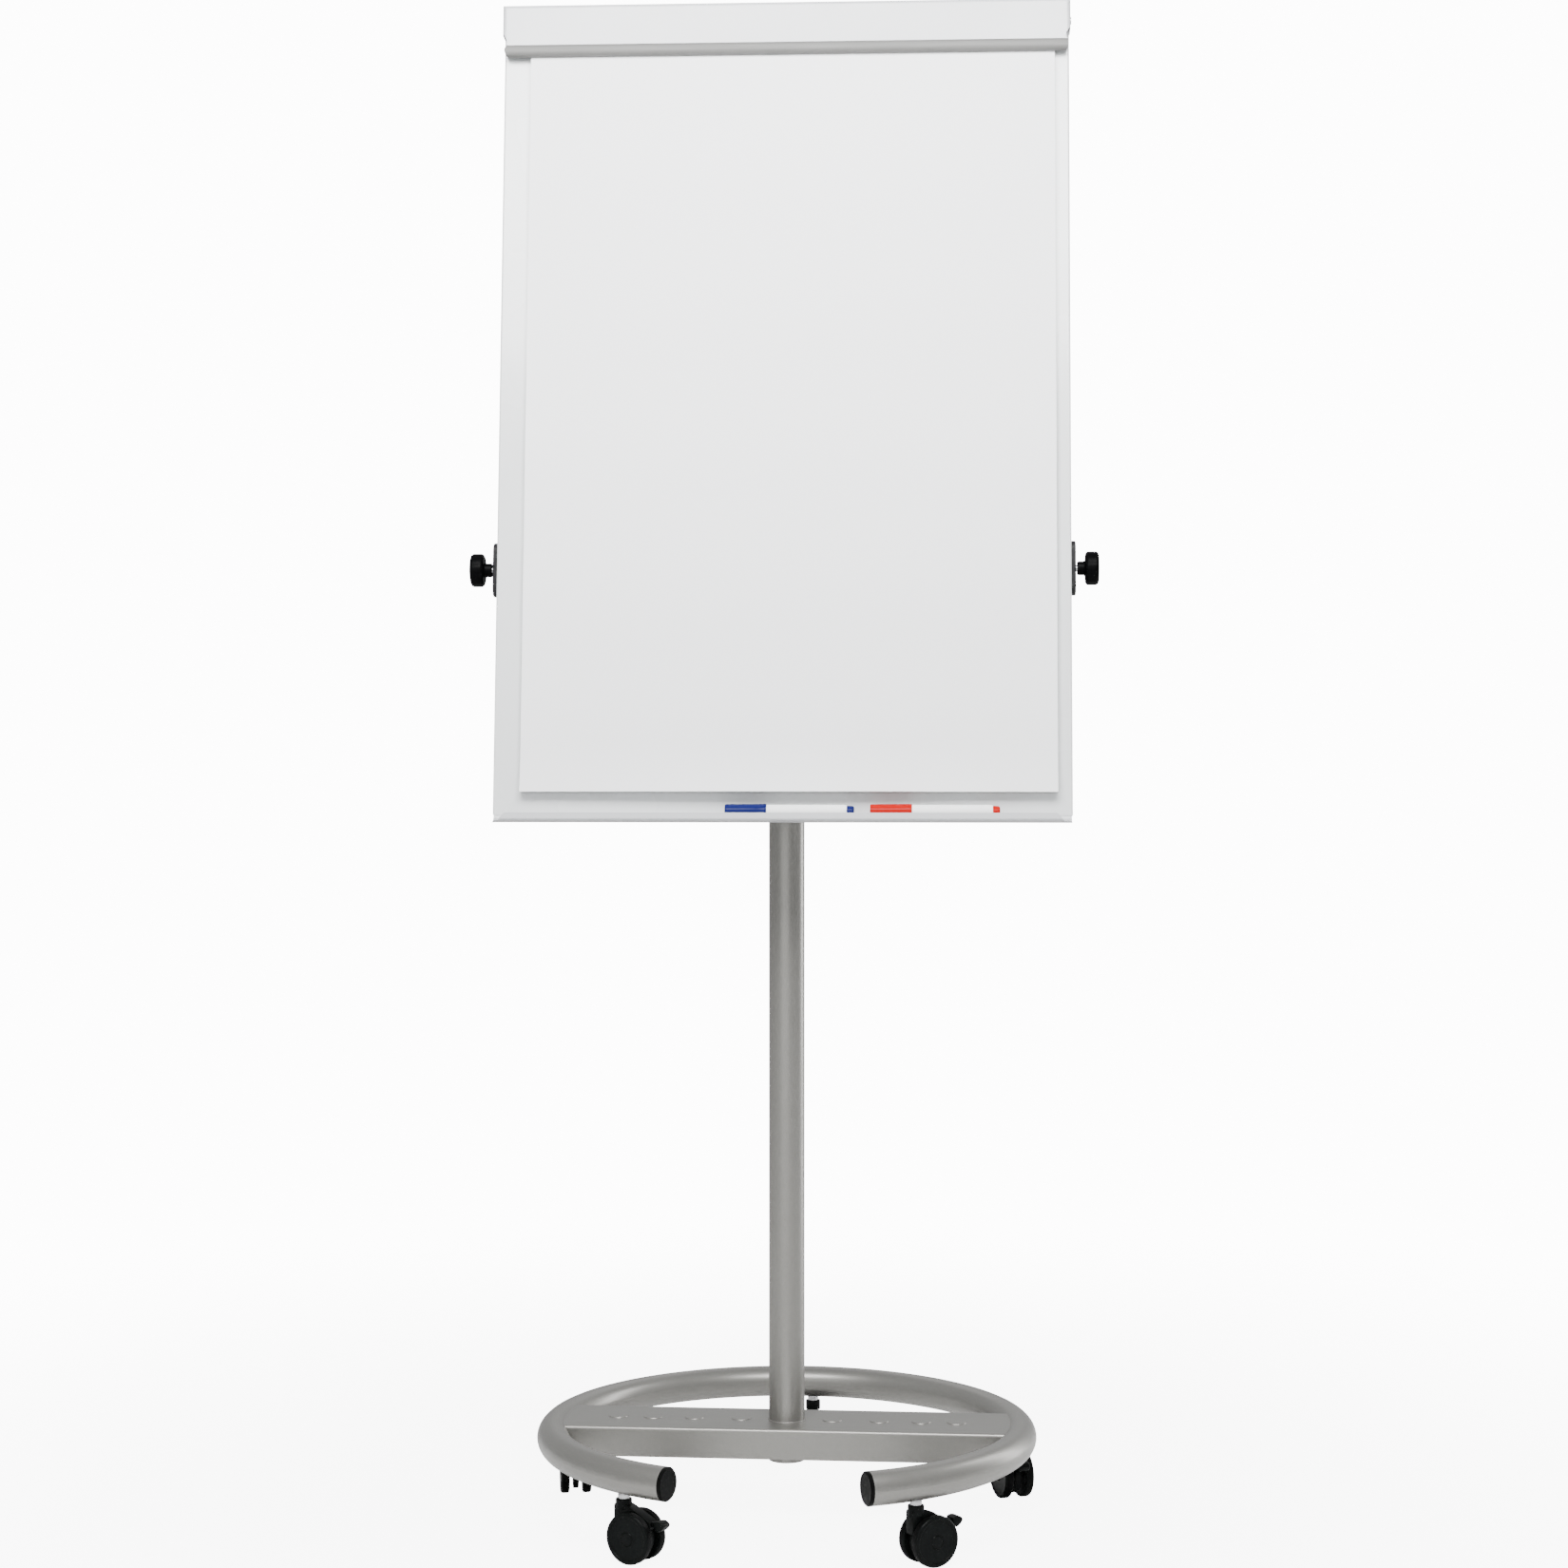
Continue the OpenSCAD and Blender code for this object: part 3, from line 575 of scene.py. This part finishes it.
def castor_body(name, place):
    """Neck and head over the wheels, with a slim round fin down between them."""
    half_head, half_fin, fin_r = 7.4 * MM, 3.4 * MM, 23.9 * MM
    r, low, top, soft, bore = 9.7 * MM, 60.5 * MM, 72 * MM, 1.2 * MM, 5.1 * MM
    bm = bmesh.new()
    extrude_outline(bm, in_mm(HEAD), -half_head, half_head, bevel=1.1 * MM, segments=3)
    fin = bmesh.new()
    fin_outline = list(arc(TRAIL, AXLE_Z, fin_r, 0, 352.5, 47))
    extrude_outline(fin, fin_outline, -half_fin, half_fin, bevel=0.6 * MM)
    merge(bm, fin)
    neck = bmesh.new()
    profile = [(0, low), (r, low), (r, top - soft)]
    profile += arc(r - soft, top - soft, soft, 0, 90, 5)
    profile += [(bore, top), (bore, top - 4 * MM)]
    lathe(neck, profile, 48)
    merge(bm, neck)
    piece = add_piece(f"{name}_castor_body", bm, "castor", f"{name}_castor", place)
    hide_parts(f"{name}_housing")


def brake_lever(name, place):
    half_arm, half_paddle = 3.9 * MM, 7.4 * MM
    bm = bmesh.new()
    extrude_outline(bm, in_mm(LEVER_ARM), -half_arm, half_arm, bevel=0.7 * MM)
    paddle = bmesh.new()
    extrude_outline(paddle, in_mm(LEVER_PADDLE), -half_paddle, half_paddle, bevel=1.3 * MM,
                    segments=3)
    merge(bm, paddle)
    piece = add_piece(f"{name}_brake_lever", bm, "castor", f"{name}_lever", place)
    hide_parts(f"{name}_brake")


def castors():
    for name in CASTORS:
        place = castor_frame(name)
        castor_body(name, place)
        brake_lever(name, place)
        wheel(name, "a", 1, place)
        wheel(name, "b", -1, place)


# ---------------------------------------------------------------- paper pad

PAD_W, PAD_H, PAD_LOW, PAD_X = 648 * MM, 965 * MM, 37 * MM, 8 * MM
PAD_FRONT, PAD_REAR = -8.3 * MM, -0.3 * MM
PAD_TOP = PAD_LOW + PAD_H
LEFT, RIGHT = PAD_X - PAD_W / 2, PAD_X + PAD_W / 2
CURL, CURL_LEN = 10 * MM, 62 * MM       # how far, and over what length, the top sheet curls out
PEG_X, PEG_V, PEG_HOLE = 170 * MM, 984.5 * MM, 5 * MM


def punch(obj, depth_from, depth_to):
    """Cuts the two peg holes through a piece in the board's frame."""
    bm = bmesh.new()
    for sign in (-1, 1):
        made = bmesh.ops.create_cone(bm, cap_ends=True, segments=40, radius1=PEG_HOLE,
                                     radius2=PEG_HOLE, depth=depth_to - depth_from)
        middle = (PAD_X + sign * PEG_X, (depth_from + depth_to) / 2, PEG_V)
        place = Matrix.Translation(middle) @ Matrix.Rotation(math.pi / 2, 4, "X")
        bmesh.ops.transform(bm, matrix=ON_BOARD @ place, verts=made["verts"])
    mesh = bpy.data.meshes.new("punch")
    bm.to_mesh(mesh)
    bm.free()
    tool = bpy.data.objects.new("punch", mesh)
    bpy.context.scene.collection.objects.link(tool)
    cut = obj.modifiers.new("holes", "BOOLEAN")
    cut.operation, cut.object, cut.solver = "DIFFERENCE", tool, "EXACT"
    dg = bpy.context.evaluated_depsgraph_get()
    baked = bpy.data.meshes.new_from_object(obj.evaluated_get(dg))
    obj.modifiers.clear()
    old = obj.data
    obj.data = baked
    bpy.data.meshes.remove(old)
    bpy.data.objects.remove(tool)
    baked.shade_smooth()
    baked.set_sharp_from_angle(angle=math.radians(35))


def sheet_lift(x, z):
    """How far the top sheet stands off the stack: faint ripples, and a curl at the bottom."""
    down = 1.0 - (z - PAD_LOW) / PAD_H
    low = max(0.0, 1.0 - (z - PAD_LOW) / CURL_LEN)
    ripple = math.sin(2 * math.pi * (down * 5.6 + 0.04 * math.sin(5.2 * x)) + 0.6)
    drift = noise.noise(Vector((x * 1.7, z * 3.1, 0.4)))
    held = min(1.0, down * 7.0)
    curl = CURL * low * low * (0.8 + 0.2 * math.cos(9.0 * (x - PAD_X)))
    return (0.75 + held * (0.42 * ripple + 0.45 * drift)) * 1.1 * MM + curl


def top_sheet():
    """The sheet that shows, hanging free of the stack below the clamp."""
    nx, nz = 60, 180
    thick = 0.16 * MM
    bm = bmesh.new()
    grid = []
    for layer in (0, 1):
        rows = []
        for k in range(nz + 1):
            z = PAD_LOW + PAD_H * (k / nz) ** 1.25      # closer rows at the curl
            row = []
            for i in range(nx + 1):
                x = LEFT + PAD_W * i / nx
                y = PAD_FRONT + 1.15 * MM - sheet_lift(x, z) + layer * thick
                row.append(bm.verts.new((x, y, z)))
            rows.append(row)
        grid.append(rows)
    for layer, rows in enumerate(grid):
        for k in range(nz):
            for i in range(nx):
                quad = (rows[k][i], rows[k][i + 1], rows[k + 1][i + 1], rows[k + 1][i])
                bm.faces.new(quad if layer == 0 else quad[::-1])
    front, rear = grid
    rim = [(0, i) for i in range(nx + 1)] + [(k, nx) for k in range(1, nz + 1)] \
        + [(nz, i) for i in range(nx - 1, -1, -1)] + [(k, 0) for k in range(nz - 1, 0, -1)]
    for (k0, i0), (k1, i1) in zip(rim, rim[1:] + rim[:1]):
        bm.faces.new((front[k0][i0], rear[k0][i0], rear[k1][i1], front[k1][i1]))
    sheet = add_piece("pad_top_sheet", bm, "paper", "board", ON_BOARD)
    punch(sheet, PAD_FRONT - 3 * MM, PAD_REAR)


def pad_stack():
    """The sheets underneath, in thin bundles a little out of line, on a grey backing card."""
    card_t, tape_h, bundles = 1.0 * MM, 34 * MM, 9
    rng = random.Random(7)
    bm = bmesh.new()
    depth = PAD_FRONT + 1.4 * MM
    step = (PAD_REAR - card_t - 0.1 * MM - depth) / bundles
    for b in range(bundles):
        dx, dz = rng.uniform(-0.5, 0.5) * MM, rng.uniform(0.0, 0.7) * MM
        y = depth + b * step
        block(bm, (LEFT + 0.5 * MM + dx, y, PAD_LOW + dz),
              (RIGHT - 0.5 * MM + dx, y + step * 0.94, PAD_TOP - 0.4 * MM))
    for f in bm.faces:
        f.material_index = 0 if abs(f.normal.y) > 0.9 else 1
    stack = add_piece("pad_stack", bm, ["paper", "paper_edge"], "board", ON_BOARD)
    punch(stack, PAD_FRONT - 3 * MM, PAD_REAR + 1 * MM)
    card = bmesh.new()
    block(card, (LEFT, PAD_REAR - card_t, PAD_LOW), (RIGHT, PAD_REAR, PAD_TOP), bevel=0.15 * MM)
    backing = add_piece("pad_backing_card", card, "card", "board", ON_BOARD)
    punch(backing, PAD_FRONT - 3 * MM, PAD_REAR + 1 * MM)
    tape = bmesh.new()
    block(tape, (LEFT, PAD_FRONT - 0.1 * MM, PAD_TOP - tape_h),
          (RIGHT, PAD_FRONT + 0.35 * MM, PAD_TOP), bevel=0.06 * MM)
    binding = add_piece("pad_binding_tape", tape, "tape", "board", ON_BOARD)
    punch(binding, PAD_FRONT - 3 * MM, PAD_REAR)
    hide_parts("paper_pad")


# ---------------------------------------------------------------- markers

PEN_PLACE = (-20.5 * MM, 11.5 * MM)     # a marker's axis in the board's frame, in Y and Z
CAP_R, BARREL_R, PLUG_R, NIB_R = 10 * MM, 9 * MM, 7.6 * MM, 2.9 * MM
CAP_LEN, PEN_LEN = 50 * MM, 155 * MM
PLUG_START = PEN_LEN - 8.6 * MM         # where the coloured end plug begins


def cap_ribs(r, h, a):
    """Twenty-four fine ribs along the cap's middle."""
    if r > CAP_R * 0.93 and 2.5 * MM < h < CAP_LEN - 9.5 * MM:
        return r - 0.12 * MM * (0.5 - 0.5 * math.cos(24 * a))
    return r


def barrel_profile():
    """A core that the cap slides over, then the barrel, open to the end plug."""
    core, shoulder, start = 7.9 * MM, 8.6 * MM, 14 * MM
    profile = [(0, start), (core, start), (core, CAP_LEN), (shoulder, CAP_LEN)]
    profile += arc(BARREL_R - 0.5 * MM, CAP_LEN + 0.6 * MM, 0.5 * MM, -90, 0, 3)
    profile += [(BARREL_R, PEN_LEN - 13 * MM), (BARREL_R - 0.35 * MM, PEN_LEN - 9 * MM),
                (7.4 * MM, PLUG_START), (0, PLUG_START)]
    return profile


def plug_profile():
    profile = [(0, PLUG_START), (PLUG_R, PLUG_START), (PLUG_R, PEN_LEN - 2.6 * MM)]
    profile += arc(PLUG_R - 2.4 * MM, PEN_LEN - 2.5 * MM, 2.4 * MM, 0, 85, 6)
    return profile + [(0, PEN_LEN - 0.05 * MM)]


def cap_profile():
    """A cap with a shallow dish in its end and a plain band at its mouth."""
    profile = [(0, 0.4 * MM), (5 * MM, 0.4 * MM), (5.4 * MM, 0.0), (CAP_R - 2.4 * MM, 0.0)]
    profile += arc(CAP_R - 1.9 * MM, 1.6 * MM, 1.6 * MM, -90, 0, 6)
    return profile + [(CAP_R - 0.15 * MM, CAP_LEN - 9 * MM), (CAP_R, CAP_LEN - 8.6 * MM),
                      (CAP_R, CAP_LEN - 0.5 * MM), (CAP_R - 0.4 * MM, CAP_LEN - 0.1 * MM),
                      (8.1 * MM, CAP_LEN - 0.1 * MM), (8.1 * MM, CAP_LEN - 6 * MM)]


def marker(colour, x0):
    """A board marker along X: ribbed cap, white barrel, nib and coloured end plug."""
    body, plastic = colour + "_marker", colour + "_plastic"
    place = ON_BOARD @ Matrix.Translation((x0, *PEN_PLACE)) @ turn_to((1, 0, 0))
    barrel = bmesh.new()
    lathe(barrel, barrel_profile(), 64)
    barrel = add_piece(body + "_barrel", barrel, "pen_white", body, place)
    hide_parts(colour + "_pen")
    nib = bmesh.new()
    lathe(nib, [(0, 6 * MM), (2.2 * MM, 6.2 * MM), (NIB_R, 7.4 * MM), (NIB_R, 14.2 * MM),
                (0, 14.2 * MM)], 32)
    add_piece(body + "_nib", nib, colour, body, place)
    plug = bmesh.new()
    lathe(plug, plug_profile(), 48)
    add_piece(body + "_plug", plug, colour, body, place)
    cap = bmesh.new()
    lathe(cap, cap_profile(), 96, cap_ribs)
    cover = add_piece(body + "_cap_shell", cap, colour, body + "_cap", place, smooth=30)
    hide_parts(colour + "_pen_cap")


def markers():
    for colour in ("blue", "red"):
        lo, _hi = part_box(colour + "_pen_cap")
        marker(colour, lo[0])


# ---------------------------------------------------------------- small metalwork


def weld_bead(name, height):
    """A rippled ring of weld round the column."""
    r, size, steps, sides = COLUMN_R + 0.25 * MM, 0.9 * MM, 220, 8
    bm = bmesh.new()
    rings = []
    for i in range(steps):
        a = 2 * math.pi * i / steps
        lump = noise.noise(Vector((i * 0.21, 0, 3.0)))
        swell = size * (1.0 + 0.10 * math.sin(i * 1.7) + 0.10 * lump)
        ring = []
        for k in range(sides):
            b = 2 * math.pi * k / sides
            rr = r + swell * math.cos(b)
            ring.append(bm.verts.new((rr * math.cos(a), rr * math.sin(a), swell * math.sin(b))))
        rings.append(ring)
    for p, q in zip(rings, rings[1:] + rings[:1]):
        for k in range(sides):
            m = (k + 1) % sides
            bm.faces.new((p[k], p[m], q[m], q[k]))
    add_piece(name, bm, "silver", "base", Matrix.Translation((0, 0, height)),
              smooth=60)


def welds():
    lo, _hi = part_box("crossbar")
    weld_bead("column_weld", BAR_TOP + 0.3 * MM)
    weld_bead("column_foot_weld", lo[2] + 0.2 * MM)


# ---------------------------------------------------------------- camera, floor and light


def camera():
    """The photograph's view: level, a little right of the middle, at chest height."""
    azimuth, distance, height = math.radians(3.0), 3.5, 0.930
    data = bpy.data.cameras.new("camera")
    data.sensor_width = 36.0
    data.lens = 64.28
    data.shift_x = -0.0018
    data.shift_y = -0.0118
    cam = bpy.data.objects.new("camera", data)
    cam.location = (distance * math.sin(azimuth), -distance * math.cos(azimuth), height)
    cam.rotation_euler = (math.pi / 2, 0.0, azimuth)
    bpy.context.scene.collection.objects.link(cam)
    bpy.context.scene.camera = cam


def area_light(name, location, target, size, power):
    data = bpy.data.lights.new(name, "AREA")
    data.shape = "RECTANGLE"
    data.size, data.size_y = size
    data.energy = power
    obj = bpy.data.objects.new(name, data)
    obj.location = location
    obj.rotation_mode = "QUATERNION"
    obj.rotation_quaternion = (Vector(target) - Vector(location)).to_track_quat("-Z", "Y")
    obj.visible_camera = False
    bpy.context.scene.collection.objects.link(obj)


def studio_world():
    """Dim grey all round for the light, with a white backdrop for the eye."""
    world = bpy.data.worlds.new("studio")
    world.use_nodes = True
    tree = world.node_tree
    ambient = tree.nodes["Background"]
    ambient.inputs["Color"].default_value = (0.97, 0.985, 1.0, 1.0)
    ambient.inputs["Strength"].default_value = 0.6
    backdrop = tree.nodes.new("ShaderNodeBackground")
    backdrop.inputs["Color"].default_value = (1.0, 1.0, 1.0, 1.0)
    backdrop.inputs["Strength"].default_value = BACKDROP
    seen = tree.nodes.new("ShaderNodeLightPath").outputs["Is Camera Ray"]
    mix = tree.nodes.new("ShaderNodeMixShader")
    tree.links.new(seen, mix.inputs[0])
    tree.links.new(ambient.outputs[0], mix.inputs[1])
    tree.links.new(backdrop.outputs[0], mix.inputs[2])
    tree.links.new(mix.outputs[0], tree.nodes["World Output"].inputs["Surface"])
    bpy.context.scene.world = world


def studio():
    studio_world()
    area_light("key", (0.0, -1.45, 2.42), (0, -0.05, 1.68), (1.7, 0.9), 128)
    area_light("right_strip", (1.9, 1.1, 1.0), (0, 0, 0.8), (0.5, 2.2), 32)
    area_light("front_fill", (-0.7, -4.0, 1.0), (0, 0, 0.85), (3.6, 2.6), 41)
    area_light("back_fill", (0.0, 3.2, 2.6), (0, 0, 1.2), (2.4, 1.6), 9)
    mesh = bpy.data.meshes.new("floor")
    size = 14.0
    corners = [(-size, -size, 0), (size, -size, 0), (size, size, 0), (-size, size, 0)]
    mesh.from_pydata(corners, [], [(0, 1, 2, 3)])
    mesh.materials.append(MATERIAL["floor"])
    floor = bpy.data.objects.new("floor", mesh)
    bpy.context.scene.collection.objects.link(floor)


# ---------------------------------------------------------------- build

camera()
studio()
dress_cad_nodes()
side_knobs()
column_knob()
friction_plates()
castors()
pad_stack()
top_sheet()
markers()
welds()
